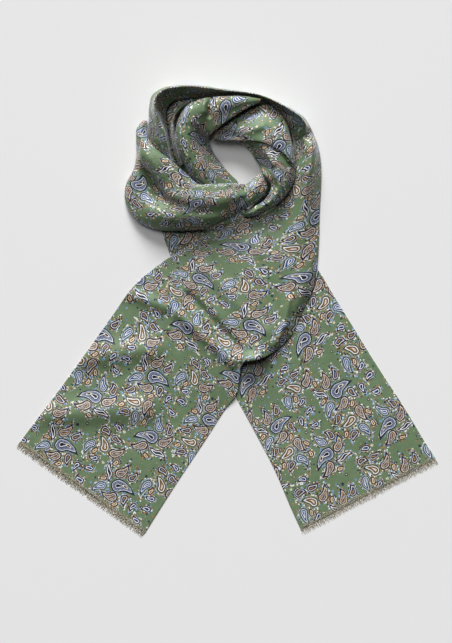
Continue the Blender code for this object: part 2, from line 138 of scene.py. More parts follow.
# Columns: neck edge x, y; outer edge x, y; heights of foot, wall, crest, shoulder and edge
LOWER_TURN = (
    (237, 142, 256, 126, 8, 16, 23, 24, 16),
    (245.2, 146.5, 272, 133, 3, 20, 32, 33, 20),
    (251.4, 152, 283, 141, 3, 23, 38, 36, 20),
    (256, 160, 291, 152, 3, 25, 41, 37, 18),
    (260.5, 167.5, 294, 167, 8, 28, 42, 37, 20),
    (264, 175.5, 294, 180, 26, 34, 41, 36, 19),
    (271, 184.5, 289.5, 190, 28, 33, 38, 33, 18),
    (269.5, 193, 282, 200, 27, 31, 35, 31, 17),
    (263.5, 201, 273, 207.5, 25, 28, 31, 28, 16),
    (254.5, 206.5, 261, 213.5, 21, 24, 26, 23, 15),
    (246, 211, 250, 217, 14, 18, 21, 19, 14),
    (241.4, 212.2, 243.4, 217, 12, 13.5, 15, 14, 12),
)

# Columns: lip x, y; outer edge x, y; heights of lip, inner slope, crest, back and edge
MIDDLE_TURN = (
    (212, 140.5, 222, 122, 20, 24, 27, 26, 22),
    (222, 141, 238, 113, 22, 27, 30, 27, 22),
    (236, 141, 253, 108, 27, 33, 35, 29, 23),
    (250, 141.5, 266, 105.5, 35, 39, 39, 31, 23),
    (262, 143, 278, 112, 41, 43, 42, 34, 23),
    (271, 147, 286.5, 124, 42, 45, 44, 36, 24),
    (280, 152, 290, 137, 42, 44, 43, 37, 24),
    (287.5, 158, 293, 149, 40, 41, 39, 34, 26),
    (292.5, 165, 295, 160, 34, 34, 33, 30, 26),
)

# Columns: neck edge x, y; outer edge x, y; heights of foot, wall, crest, back and edge
INNER_TURN = (
    (243, 190, 203, 197, 4, 10, 15, 17, 12),
    (238, 182, 199, 187.5, 3, 12, 22, 26, 16),
    (228, 172, 189.5, 173, 3, 18, 34, 37, 18),
    (219.5, 161.5, 183, 160, 3, 24, 42, 43, 20),
    (212, 151, 178.5, 147.5, 3, 28, 46, 46, 20),
    (208.5, 142, 176.5, 135, 4, 31, 48, 48, 22),
    (208, 137.5, 179, 121, 14, 35, 49, 49, 24),
    (210.5, 135, 186, 108, 32, 42, 50, 50, 28),
    (215, 131, 198, 101, 37, 45, 51, 50, 30),
    (222, 126, 213, 98, 39, 46, 51, 50, 31),
    (232, 118.5, 228, 97.3, 40, 45, 50, 49, 31),
    (243, 111.5, 243, 97.2, 41, 45, 48, 47, 32),
    (253, 106, 254, 98.5, 41, 43, 44, 43, 34),
    (260.5, 102.5, 261.5, 99.5, 38, 39, 39.5, 39, 35),
)

# Columns: foot x, y; heel x, y; how far across the rim stands, its height, and the heel's height
OUTER_TURN = (
    (178, 196, 195, 191, 0.6, 15, 6),
    (167, 184, 187, 178, 0.66, 22, 8),
    (159, 170, 178, 166.5, 0.78, 31, 10),
    (153, 157, 172, 154.5, 0.84, 39, 12),
    (150, 144, 168.8, 142, 0.87, 49, 12),
    (149, 131, 167, 129.5, 0.78, 53, 12),
    (149.5, 118, 166, 119.5, 0.52, 55, 10),
    (150, 107, 166, 111, 0.32, 57, 8),
    (153, 96, 169, 104.5, 0.22, 58, 8),
    (162, 89.5, 174, 101, 0.16, 57, 8),
    (176, 86.5, 184, 99, 0.14, 54, 8),
    (198, 86.2, 200, 97.5, 0.16, 50, 8),
    (222, 89.2, 221.5, 96.3, 0.26, 46, 9),
    (244, 91.8, 243, 96.2, 0.36, 44, 12),
    (259, 94.5, 257, 98, 0.36, 43, 15),
    (272, 99.3, 267.8, 102.2, 0.34, 44, 15),
    (284, 105.2, 275.6, 107.2, 0.28, 44, 14),
    (294, 110.8, 282.3, 114, 0.22, 43, 14),
    (303.5, 117.5, 286.8, 122, 0.18, 41, 14),
    (308.8, 125, 291, 129.5, 0.20, 34, 12),
    (312.3, 130.7, 294.8, 140.5, 0.50, 21, 6),
)

# Columns: crest x, y; height of the crest
STANDING_FOLD = (
    (190.4, 103.7, 24),
    (182.4, 107.3, 31),
    (176, 113.8, 34),
    (172.9, 122, 37),
    (172.8, 131, 40),
    (174, 141, 41),
    (176.3, 150.3, 39),
    (179, 158.2, 34),
    (181.8, 165.2, 27),
)
FOLD_HALF_WIDTH = 3.4 * MM
FOLD_FOOT = 12.6 * MM
FOLD_SHOULDER_HEIGHT = 0.72
FOLD_SHOULDER_WIDTH = 0.75

# Columns: inner edge x, y; outer edge x, y; height of the layers
HIDDEN_LAYERS = (
    (201, 182, 193, 186, 4),
    (203, 172, 188, 178, 5),
    (203, 160, 177.5, 165, 8),
    (200, 148, 168.5, 149, 11),
    (199, 136, 166.5, 134, 11),
    (200, 125, 164.8, 120, 11),
    (205, 116, 167.5, 106.5, 11),
    (214, 111, 179, 99.2, 12.2),
    (226, 109, 204, 97.2, 12.2),
    (240, 108, 232, 97.5, 11),
    (251, 109, 254.5, 98.5, 12),
    (262, 113, 269.5, 103.5, 12),
    (272, 120, 282.5, 114, 12),
    (278, 130, 290.5, 129, 11),
    (280, 141, 293.5, 141.5, 9),
)
LAYERS_PLACES = (0.0, 0.12, 0.5, 0.88, 1.0)
LAYERS_SHARES = (0.1, 0.75, 1.0, 0.8, 0.3)

# The outer turn's wall: its foot in millimetres, the bulge of its outer face and the hollow of its inner
# one, each by its place and its share of the rim's height
FOOT_HEIGHT = 3
BULGE_AT, OUTER_BULGE = 0.4, 0.55
HOLLOW_AT, INNER_HOLLOW = 0.45, 0.62

# Soft creases. Columns: from x, y; to x, y; height, negative for a trough; half width. The first seven of
# the left end and the first two of the inner turn are in the solids too
LEFT_CREASES = (
    (189, 296, 240, 349, -6, 7),
    (178, 314, 232, 362, 4.5, 8),
    (122, 291, 165, 307, 4.5, 10),
    (86, 357, 152, 349, 6.5, 19),
    (50, 415, 146, 408, 6, 19),
    (205, 268, 262, 330, 2.5, 10),
    (262, 262, 282, 330, -2.0, 9),
    (246, 360, 262, 356, 8, 9),
    (289, 300, 284, 326, 4, 5),
    (284, 326, 275, 346, 4, 5),
)
RIGHT_CREASES = (
    (318, 300, 392, 440, 0.8, 6),
    (250, 330, 300, 430, -0.7, 9),
)
BAND_CREASES = (
    (143, 163, 152, 181, -3.5, 4.5),
    (154, 186, 166, 199, -4, 5),
    (150, 160, 160, 178, 2, 5),
    (190, 212, 226, 214, -1.5, 6),
    (232, 188, 246, 190, -3, 6),
)
LOWER_CREASES = (
    (255, 145, 262, 151, 3, 5),
    (266, 155, 273, 164, 3.5, 5),
    (262, 160, 266, 168, -2.5, 4),
)
MIDDLE_CREASES = (
    (243, 134, 262, 127, 3.5, 7),
    (222, 133, 238, 138, -3, 6),
)
TURN_CREASES = (
    (212.5, 100, 209, 116, -7, 4),
    (208, 100, 205, 114, 2, 6),
    (211, 98, 208, 105, -5, 2.6),
    (207, 108, 210, 117, -4, 2.6),
    (206, 98, 203, 112, 3, 5),
    (190, 128, 196, 158, -1.5, 7),
)

# The rounding of the wall's edges: how far it reaches, and from which angle an edge is rounded
ROUNDING = 0.4 * WALL
ROUNDED_FROM = math.radians(60)

# Heights that differ by less than this are the same
HAIR = 1e-6

# The map of the cloth and the measure of its fraying, and how far in from a cut end it frays
CLOTH_MAP = "cloth"
FRAY = "fray"
FRAY_DEPTH = 12 * MM

# The fringe's threads. Lean, sway and patch are in millimetres; plain shares are of a thread's length, of
# the wall, of its height or of its radius
FRINGE_LENGTH = 11 * MM
THREAD_SPACING = 0.5 * MM
THREAD_RADIUS = 0.22 * MM
THREAD_ROOT = 0.4 * MM
THREAD_POINTS = 5
THREAD_PLACES = (0.1, 0.9)
SHORTEST_THREAD = 0.5
THREAD_LEAN = 0.7
THREAD_SWAY = 0.35
ROOT_HEIGHTS = (0.1, 0.75)
THREAD_DROP = 0.6
THREAD_WAVE, WAVE_TURNS = 0.2 * MM, 7
THREAD_THINNING = 0.45
THREAD_PATCH = 2.4
THREAD_SEED = 11
THREAD_STOPS = (
    (0.0, "brown"), (0.38, "ground"), (0.45, "khaki"), (0.51, "cream"), (0.54, "slate"), (0.58, "tan"),
    (0.64, "cream"),
)

# The twill, in millimetres: the spacing of its ribs and their lean across and along the cloth, the height
# of a rib, and the height and the size of the soft unevenness of pressed silk
TWILL_SPACING = 0.55
TWILL_ACROSS, TWILL_ALONG = 0.86, 0.5
RIB_HEIGHT = 0.02
UNEVEN_HEIGHT = 0.45
UNEVEN_PATCH = 9
RELIEF_STRENGTH = 0.6

# The cloth's uneven shade: the size of its patches in millimetres, its darkest and its range
SHADE_PATCH = 14
DARKEST_SHADE = 0.85
SHADE_RANGE = 0.3

# The frayed border: the size in millimetres of the patches that are worn bare, how uneven their edge is,
# from where they are bare, and how much of their threads' colour shows
FRAY_PATCH = 2.2
FRAY_UNEVENNESS = 1.4
FRAYED_FROM = 1.35
BARE_PATCH = 1.6
BARE_SHARE = 0.7

# The studio. Lights: name, degrees from the picture's top to its right, degrees up, metres wide and watts
FLOOR_HALF = 4.0
FLOOR_SHADE = 0.83
FLOOR_ROUGHNESS = 0.9
FILL_STRENGTH = 0.02
LIGHT_DISTANCE = 60.0
LIGHTS = (
    ("low", -8, 27, 25.2, 53578.0),
    ("high", -30, 64, 30.0, 11785.0),
)

# The camera: its lens in millimetres, its height, how far it sees, and the place on the plan below it
CAMERA_LENS = 288.9
CAMERA_HEIGHT = 8.0
CAMERA_SIGHT = 50.0
CAMERA_OVER = (226.0, 321.5)

# Colours of the print as the eye sees them, turned into light by the function below
COLOURS = {
    "ground": "687e5d",
    "navy": "161d3a",
    "ink": "0e1226",
    "slate": "525b78",
    "blue": "3f5f94",
    "sky": "88aedb",
    "lavender": "949cb4",
    "pale": "f0f3f6",
    "cream": "f2e8ce",
    "tan": "a68255",
    "rust": "74533a",
    "brown": "5d4636",
    "khaki": "8a8260",
}

# The print's repeat: its width, its height, and how far each is shifted from the one below it
REPEAT_WIDTH = 108
REPEAT_HEIGHT = 170
REPEAT_SHIFT = 54

# Motifs, in millimetres. Columns: radius of the head, distance from its middle to the tip, how far the tip
# hooks aside, and the bands of colour from the outline inwards, with the depth at which each starts
MOTIFS = {
    "large": (10.6, 24, 27, (
        (0, "navy"), (2.0, "pale"), (2.7, "slate"), (3.8, "lavender"), (4.3, "slate"), (6.2, "navy"),
        (7.2, "pale"), (8.2, "ink"))),
    "mate": (7.6, 18, -17, (
        (0, "navy"), (2.0, "cream"), (2.8, "tan"), (3.9, "navy"), (5.2, "cream"), (5.8, "rust"))),
    "halo": (8.2, 21, 18, (
        (0, "tan"), (1.3, "navy"), (3.0, "pale"), (4.0, "tan"), (4.9, "ink"), (5.9, "tan"),
        (7.0, "pale"), (7.7, "ink"))),
    "glow": (7.8, 20, -18, (
        (0, "sky"), (1.2, "navy"), (2.9, "pale"), (3.7, "blue"), (4.8, "navy"), (5.6, "pale"),
        (6.4, "blue"))),
    "curl": (4.6, 14, 12, ((0, "navy"), (1.6, "pale"), (2.7, "ink"))),
    "drop": (5.8, 13, 9, ((0, "navy"), (1.8, "cream"), (2.6, "blue"), (3.5, "ink"), (4.6, "tan"))),
    "bud": (4.6, 11, -8, ((0, "navy"), (1.7, "pale"), (2.8, "blue"), (3.5, "navy"))),
    "seed": (4, 9, 4, ((0, "ink"), (1.2, "tan"), (2.2, "cream"), (2.9, "rust"))),
}
MOTIF_NAMES = list(MOTIFS)
DEEPEST, BELOW_ONE = 12, 0.999
FAR = 99.0

# How many of each motif stand in a repeat, and the least room around each, in millimetres
MOTIF_COUNTS = {
    "large": (2, 20.0),
    "halo": (2, 12.0),
    "mate": (6, 0.1),
    "glow": (4, 0.1),
    "curl": (2, 0.1),
    "drop": (9, 0.1),
    "seed": (8, 0.1),
    "bud": (5, 1.0),
}

# The motifs that keep apart, while others gather, and how far along its tip each motif is cut blunt
SPREAD = ("large", "halo", "bud")
BLUNT = 0.82

# The clusters, each round one of the first motifs, and how near and how far from it the others stand; and
# the circles that stand for a motif while places are tried for it
CLUSTERS = 4
GATHERED = {"mate": (13, 21), "glow": (13, 23), "curl": (14, 27), "drop": (14, 29), "seed": (12, 30)}
CIRCLES = 6
LAST_CIRCLE = 0.95
TRIES = 320
LAYOUT_SEED = 5

# The hand-drawn wobble of every line, the dots in the motifs, by spacing, radius and depth, and how deep
# the outline of a halo or glow motif is broken into dots
WOBBLE_ACROSS = 9
WOBBLE = 1.1
DOT_SPACING = 2.4
DOT_RADIUS = 0.27
DOTTED_DEPTHS = (2.3, 6.0)
BROKEN_DEPTH = 1.8

# The second eye of a large motif: how far along it stands, its ring and its middle
SECOND_EYE_AT = 10.5
SECOND_EYE_RING = 2.9
SECOND_EYE_RADIUS = 1.9

# The ticks along a large motif, by their distance from it and by where they stand along it
TICK_SPACING = 3.1
TICKS_OFF = (0.7, 2.7)
TICKS_ALONG = (2.0, 13.0)

# The bare line along every outline, and the ragged dots outside it: their spacing, radius and reach
BARE_LINE = (-0.5, 0.9)
HALO_SPACING = 2.5
HALO_RADIUS = 0.47
HALO_REACH = (0.4, 4.3)

# Florets and specks between the motifs: their spacing, the share of places used and their greatest radius,
# as shares of it the smallest radius, the notches between petals and the heart, and how far they are turned
FLORET_SPACING = 11.0
FLORET_SHARE = 0.64
FLORET_RADIUS = 2.9
SPECK_SPACING = 6.0
SPECK_SHARE = 0.22
SPECK_RADIUS = 0.9
SMALLEST_SHARE = 0.5
PETAL_NOTCH = 0.26
PETAL_TURN = 6.0
HEART_SHARE = 0.36
HEART_STOPS = ((0.0, "navy"), (0.55, "cream"))

# The patchy rim along the smaller motifs, and the colours of the ragged dots and of the florets
RIM_WIDTH = 0.75
RIM_PATCH = 7
RIM_STOPS = ((0.0, "tan"), (0.4, "navy"), (0.43, "cream"), (0.47, "sky"), (0.55, "pale"), (0.62, "tan"))
HALO_STOPS = (
    (0.0, "tan"), (0.16, "rust"), (0.22, "cream"), (0.3, "navy"), (0.6, "pale"), (0.76, "sky"),
    (0.94, "tan"),
)
FLORET_COLOURS = ("cream", "tan", "sky", "navy", "tan", "rust", "navy", "blue")


def on_plan(x, y, height=0.0):
    """The point over a place on the plan, in metres."""
    return np.array([(x - PLAN_MIDDLE[0]) * SQUARE, (PLAN_MIDDLE[1] - y) * SQUARE, height])


def smooth_curve(places, points, wanted):
    """Where the smooth curve that passes the points at those places is at the places wanted."""
    places, points, wanted = (np.asarray(values, float) for values in (places, points, wanted))
    slopes = np.gradient(points, places, axis=0)
    index = np.clip(np.searchsorted(places, wanted, side="right") - 1, 0, len(places) - 2)
    step = (places[index + 1] - places[index])[:, None]
    t = (wanted - places[index])[:, None] / step
    return (
        (1 + 2 * t) * (1 - t) ** 2 * points[index]
        + t * (1 - t) ** 2 * step * slopes[index]
        + t * t * (3 - 2 * t) * points[index + 1]
        + t * t * (t - 1) * step * slopes[index + 1]
    )


def running_length(points):
    """How far along the points' line each of them is."""
    steps = np.linalg.norm(np.diff(points, axis=0), axis=1)
    return np.concatenate([[0.0], np.cumsum(steps)])


def smooth_line(points, count):
    """The smooth curve through the points, as so many points."""
    length = running_length(np.array(points))
    return smooth_curve(length, points, np.linspace(0.0, length[-1], count))


def evenly_spaced(points, segments):
    """The same curve with its points the same distance apart."""
    length = running_length(points)
    wanted = np.linspace(0.0, length[-1], segments + 1)
    return np.stack([np.interp(wanted, length, points[:, axis]) for axis in range(3)], axis=1)


def between_rows(rows, segments):
    """A table's rows, blended smoothly and spaced evenly along the stretch."""
    rows = np.asarray(rows, float)
    middles = (rows[:, 0:2] + rows[:, 2:4]) / 2
    length = running_length(middles)
    return smooth_curve(length, rows, np.linspace(0.0, length[-1], segments + 1))


def hem_knots(edge, inward, width):
    """The two points of a hem that is turned under below an edge, the deeper one first."""
    depth = min(HEM_DEPTH, HEM_SHARE * width)
    knots = [edge + inward * depth, edge + inward * depth * HEM_TURN]
    for knot in knots:
        knot[2] = max(0.0, edge[2] - HEM_ROLL)
    return knots


def section(row, places, hemmed, segments):
    """One section of a stretch, as evenly spaced points from its first edge to its second."""
    first, second = on_plan(*row[0:2]), on_plan(*row[2:4])
    width = np.linalg.norm(second - first)
    across = (second - first) / width
    knots = []
    for place, height in zip(places, row[4:]):
        knots.append(first + (second - first) * place + (0.0, 0.0, height * MM))
    if hemmed:
        first_hem = hem_knots(knots[0], across, width)
        second_hem = hem_knots(knots[-1], -across, width)
        knots = first_hem + knots + second_hem[::-1]
    curve = smooth_line(knots, FINE_POINTS)
    curve[:, 2] = np.maximum(curve[:, 2], 0.0 if hemmed else WALL)
    return evenly_spaced(curve, segments)


def outer_turn_rows():
    """The outer turn's rows with all five heights, and the place of each height."""
    rows, places = [], []
    for *ends, rim_at, rim, heel in OUTER_TURN:
        rows.append((*ends, FOOT_HEIGHT, OUTER_BULGE * rim, rim, INNER_HOLLOW * rim, heel))
        inside = rim_at + HOLLOW_AT * (1 - rim_at)
        places.append((0.0, BULGE_AT * rim_at, rim_at, inside, 1.0))
    return rows, places


def front_band_rows():
    """The front band's rows of heights, and the place of each height."""
    rows, places = [], []
    for upper_x, upper_y, lower_x, lower_y, crest_at, valley_at, *heights in FRONT_BAND:
        rows.append((upper_x, upper_y, lower_x, lower_y, *heights))
        shoulder_at = valley_at + SHOULDER_AT * (1 - valley_at)
        places.append((0.0, crest_at, valley_at - VALLEY_BRINK, valley_at, shoulder_at, 1.0))
    return rows, places


def same_places(rows, places):
    """The rows, and the one set of places that all their heights share."""
    return rows, [places] * len(rows)


def colour(name):
    """A named colour as linear red, green, blue and alpha."""
    made = []
    for start in (0, 2, 4):
        value = int(COLOURS[name][start : start + 2], 16) / 255
        made.append(value / 12.92 if value <= 0.04045 else ((value + 0.055) / 1.055) ** 2.4)
    return (*made, 1.0)


# Which inputs and which output a Mix node uses for each kind of value
MIX_SOCKETS = {"RGBA": (6, 7, 2), "VECTOR": (4, 5, 1)}


class Tree:
    """A tree of nodes, with short ways to add nodes to it and join them."""

    def __init__(self, tree):
        self.tree = tree

    def node(self, kind, **settings):
        made = self.tree.nodes.new(kind)
        for name, value in settings.items():
            setattr(made, name, value)
        return made

    def feed(self, socket, value):
        if isinstance(value, bpy.types.NodeSocket):
            self.tree.links.new(value, socket)
        else:
            socket.default_value = value

    def fed(self, kind, values, **settings):
        """A node whose first inputs are fed with the values."""
        made = self.node(kind, **settings)
        for socket, value in zip(made.inputs, values):
            self.feed(socket, value)
        return made

    def math(self, operation, *values):
        return self.fed("ShaderNodeMath", values, operation=operation).outputs[0]

    def times(self, *values):
        """The product of the values. Of masks, it is 1 where every mask is 1."""
        product = values[0]
        for value in values[1:]:
            product = self.math("MULTIPLY", product, value)
        return product

    def vector(self, operation, *values):
        made = self.fed("ShaderNodeVectorMath", values, operation=operation)
        return made.outputs["Value" if operation in ("DOT_PRODUCT", "LENGTH") else "Vector"]

    def scaled(self, vector, scale):
        return self.vector("MULTIPLY", vector, (scale, scale, scale))

    def joined(self, x, y, z=0.0):
        return self.fed("ShaderNodeCombineXYZ", (x, y, z)).outputs[0]

    def split(self, vector):
        return self.fed("ShaderNodeSeparateXYZ", (vector,)).outputs

    def blend(self, share, first, second, kind="RGBA"):
        """The first value where the share is 0, the second where it is 1."""
        first_at, second_at, result_at = MIX_SOCKETS[kind]
        made = self.node("ShaderNodeMix", data_type=kind)
        for index, value in ((0, share), (first_at, first), (second_at, second)):
            self.feed(made.inputs[index], value)
        return made.outputs[result_at]

    def steps(self, value, stops):
        """The colour of the last stop that the value has passed. Stops are (position, colour name)."""
        made = self.node("ShaderNodeValToRGB")
        ramp = made.color_ramp
        ramp.interpolation = "CONSTANT"
        while len(ramp.elements) > 1:
            ramp.elements.remove(ramp.elements[-1])
        ramp.elements[0].position = stops[0][0]
        ramp.elements[0].color = colour(stops[0][1])
        for position, name in stops[1:]:
            ramp.elements.new(position).color = colour(name)
        self.feed(made.inputs[0], value)
        return made.outputs[0]

    def used(self, made, values):
        """What a node puts out, once its inputs are fed by name."""
        for name, value in values.items():
            self.feed(made.inputs[name], value)
        return made.outputs

    def noise(self, place, scale, detail=2.0):
        """A cloudy pattern."""
        made = self.node("ShaderNodeTexNoise", noise_dimensions="2D")
        return self.used(made, {"Vector": place, "Scale": scale, "Detail": detail})

    def cells(self, place):
        """A pattern of scattered points, one to each unit square."""
        made = self.node("ShaderNodeTexVoronoi", voronoi_dimensions="2D")
        return self.used(made, {"Vector": place, "Scale": 1.0, "Randomness": 0.85})

    def placed(self, group, values):
        """What a node group puts out, placed in this tree and fed by name."""
        return self.used(self.node("ShaderNodeGroup", node_tree=group), values)


SOCKETS = {"vector": "NodeSocketVector", "value": "NodeSocketFloat", "colour": "NodeSocketColor"}


def new_group(name, inputs, outputs):
    """A node group, its Tree, what it is given and what it puts out. Sockets are {name: kind}."""
    group = bpy.data.node_groups.new(name, "ShaderNodeTree")
    for in_out, sockets in (("INPUT", inputs), ("OUTPUT", outputs)):
        for socket, kind in sockets.items():
            group.interface.new_socket(name=socket, in_out=in_out, socket_type=SOCKETS[kind])
    tree = Tree(group)
    return group, tree, tree.node("NodeGroupInput").outputs, tree.node("NodeGroupOutput").inputs


def motif_group():
    """How far a place lies from one motif's outline, keeping the nearest motif so far.

    Kept holds the place within the nearest motif, and which motif it is; Distance is negative inside it.
    Behind its middle a motif is round. Ahead of it, its half width shrinks with the fourth power of the way
    to the tip, its axis bends aside with the square, and the tip is cut blunt."""
    inputs = dict.fromkeys(("Cloth", "Kept", "Middle", "Sideways", "Lengthways"), "vector")
    inputs.update(dict.fromkeys(("Distance", "Head", "Taper", "Hook", "Blunt", "Motif"), "value"))
    group, tree, given, result = new_group("motif", inputs, {"Kept": "vector", "Distance": "value"})
    half = (REPEAT_WIDTH / 2, REPEAT_HEIGHT / 2, 1)
    offset = tree.vector("SUBTRACT", given["Cloth"], given["Middle"])
    offset = tree.vector("WRAP", offset, half, tuple(-value for value in half))
    x = tree.vector("DOT_PRODUCT", offset, given["Sideways"])
    y = tree.vector("DOT_PRODUCT", offset, given["Lengthways"])
    ahead = tree.math("MAXIMUM", y, 0.0)
    squared = tree.times(ahead, ahead)
    x = tree.math("SUBTRACT", x, tree.times(squared, given["Hook"]))
    place = tree.joined(x, y, given["Motif"])
    round_part = tree.vector("LENGTH", tree.joined(x, y))
    fourth = tree.times(squared, squared)
    side = tree.math("MULTIPLY_ADD", fourth, given["Taper"], tree.math("ABSOLUTE", x))
    difference = tree.math("SUBTRACT", side, round_part)
    distance = tree.math("MULTIPLY_ADD", tree.math("GREATER_THAN", y, 0.0), difference, round_part)
    distance = tree.math("SUBTRACT", distance, given["Head"])
    slope = tree.times(ahead, tree.times(given["Hook"], 2.0))
    steepness = tree.math("SQRT", tree.math("MULTIPLY_ADD", slope, slope, 1.0))
    distance = tree.math("DIVIDE", distance, steepness)
    distance = tree.math("MAXIMUM", distance, tree.math("SUBTRACT", y, given["Blunt"]))
    nearer = tree.math("LESS_THAN", distance, given["Distance"])
    tree.feed(result["Kept"], tree.blend(nearer, given["Kept"], place, "VECTOR"))
    tree.feed(result["Distance"], tree.math("MINIMUM", distance, given["Distance"]))
    return group


def motif_circles(name, x, y, turn, hand):
    """Circles that fill a motif at each of the places given, as x, y and radius."""
    head, tip, hook, _ = MOTIFS[name]
    share = np.linspace(0.0, LAST_CIRCLE, CIRCLES)
    ahead = share * tip
    aside = hook * share**2
    radius = head * (1 - share**4)
    if name == "curl":
        ahead, aside = np.concatenate([ahead, -ahead]), np.concatenate([aside, -aside])
        radius = np.tile(radius, 2)
    sine, cosine = np.sin(turn)[:, None], np.cos(turn)[:, None]
    aside = aside * hand[:, None]
    middle_x = x[:, None] + aside * cosine - ahead * sine
    middle_y = y[:, None] + aside * sine + ahead * cosine
    return np.stack([middle_x, middle_y, np.broadcast_to(radius, middle_x.shape)], axis=2)


def room_around(circles, taken):
    """The least gap from each place's circles to the circles taken, in every repeat around."""
    least = np.full(len(circles), REPEAT_WIDTH / 2.0)
    for column, line in itertools.product((-1, 0, 1), repeat=2):
        shift = (column * REPEAT_WIDTH + line * REPEAT_SHIFT, line * REPEAT_HEIGHT)
        for other in taken:
            apart = np.hypot(circles[..., 0] - other[0] - shift[0], circles[..., 1] - other[1] - shift[1])
            least = np.minimum(least, (apart - circles[..., 2] - other[2]).min(axis=1))
    return least


def motif_places():
    """Where the motifs stand in the repeat: name, x, y, turn and hand.

    The largest are spread out and others gather round them; the buds stand alone in what is left."""
    draw = np.random.default_rng(LAYOUT_SEED)
    places, taken = [], []
    for name, (count, least_room) in MOTIF_COUNTS.items():
        for index in range(count):
            x, y = draw.uniform(0, REPEAT_WIDTH, TRIES), draw.uniform(0, REPEAT_HEIGHT, TRIES)
            turn, hand = draw.uniform(0, 2 * math.pi, TRIES), draw.choice((-1.0, 1.0), TRIES)
            if name in GATHERED:
                around, away = draw.uniform(0, 2 * math.pi, TRIES), draw.uniform(*GATHERED[name], TRIES)
                x = places[index % CLUSTERS][1] + away * np.cos(around)
                y = places[index % CLUSTERS][2] + away * np.sin(around)
            circles = motif_circles(name, x, y, turn, hand)
            room = room_around(circles, taken)
            score = room if name in SPREAD else -room
            best = int(np.argmax(np.where(room >= least_room, score, -REPEAT_HEIGHT)))
            if room[best] < least_room:
                continue
            taken.extend(circles[best])
            places.append((name, x[best], y[best], turn[best], hand[best]))
            if name == "curl":
                places.append((name, x[best], y[best], turn[best] + math.pi, hand[best]))
    return places


def placed_motifs(tree, cloth):
    """The place within the nearest motif and the distance to its outline, in millimetres."""
    motif = motif_group()
    lean = REPEAT_SHIFT / REPEAT_HEIGHT
    x, y, _ = tree.split(cloth)
    leaning = tree.joined(tree.math("MULTIPLY_ADD", y, -lean, x), y)
    kept, distance = (0.0, 0.0, 0.0), FAR
    for name, middle_x, middle_y, turn, hand in motif_places():
        head, tip, hook, _ = MOTIFS[name]
        cosine, sine = math.cos(turn), math.sin(turn)
        sideways = (hand * cosine, hand * (sine + lean * cosine), 0)
        lengthways = (-sine, cosine - lean * sine, 0)
        found = tree.placed(motif, {
            "Cloth": leaning, "Kept": kept, "Distance": distance,
            "Middle": (middle_x - lean * middle_y, middle_y, 0.0),
            "Sideways": sideways, "Lengthways": lengthways,
            "Head": head, "Taper": head / tip**4, "Hook": hook / tip**2, "Blunt": BLUNT * tip,
            "Motif": MOTIF_NAMES.index(name),
        })
        kept, distance = found["Kept"], found["Distance"]
    return kept, distance


def scattered(tree, cloth, spacing, share, radius, petals):
    """Small flowers or specks, each with a heart: where they are, and their colour."""
    place = tree.scaled(cloth, 1 / spacing)
    cell = tree.cells(place)
    red, green, blue = tree.fed("ShaderNodeSeparateColor", (cell["Color"],)).outputs
    x, y, _ = tree.split(tree.vector("SUBTRACT", place, cell["Position"]))
    angle = tree.math("ARCTAN2", y, x)
    wave = tree.math("COSINE", tree.math("MULTIPLY_ADD", angle, petals, tree.times(red, PETAL_TURN)))
    size = tree.math("MULTIPLY_ADD", green, 1 - SMALLEST_SHARE, SMALLEST_SHARE)
    reach = tree.times(size, tree.math("MULTIPLY_ADD", wave, PETAL_NOTCH, 1 - PETAL_NOTCH))
    reach = tree.times(reach, radius / spacing)
    inside = tree.math("LESS_THAN", cell["Distance"], reach)
    chosen = tree.math("LESS_THAN", red, share)
    stops = [(index / len(FLORET_COLOURS), name) for index, name in enumerate(FLORET_COLOURS)]
    petal = tree.steps(blue, stops)
    heart = tree.math("LESS_THAN", cell["Distance"], tree.times(reach, HEART_SHARE))
    return tree.times(inside, chosen), tree.blend(heart, petal, tree.steps(blue, HEART_STOPS))


def banded(tree, depth, motif):
    """The colour of the motif's bands at a depth. Each half of the motifs shares a ramp."""
    half = len(MOTIF_NAMES) // 2
    share = tree.math("MINIMUM", tree.math("DIVIDE", depth, DEEPEST), BELOW_ONE)
    found = []
    for start in (0, half):
        stops = []
        for index, name in enumerate(MOTIF_NAMES[start : start + half]):
            for from_depth, band in MOTIFS[name][3]:
                stops.append(((index + from_depth / DEEPEST) / half, band))
        where = tree.math("ADD", tree.math("SUBTRACT", motif, start), share)
        found.append(tree.steps(tree.math("DIVIDE", where, half), stops))
    return tree.blend(tree.math("GREATER_THAN", motif, half - 0.5), *found)


def within(tree, value, low, high):
    """1 where the value is between the two limits, and 0 elsewhere."""
    return tree.times(tree.math("GREATER_THAN", value, low), tree.math("LESS_THAN", value, high))


def among(tree, motif, first, last):
    """1 on the motifs from the first name to the last, in the order of their table, and 0 on the others."""
    return within(tree, motif, MOTIF_NAMES.index(first) - 0.5, MOTIF_NAMES.index(last) + 0.5)


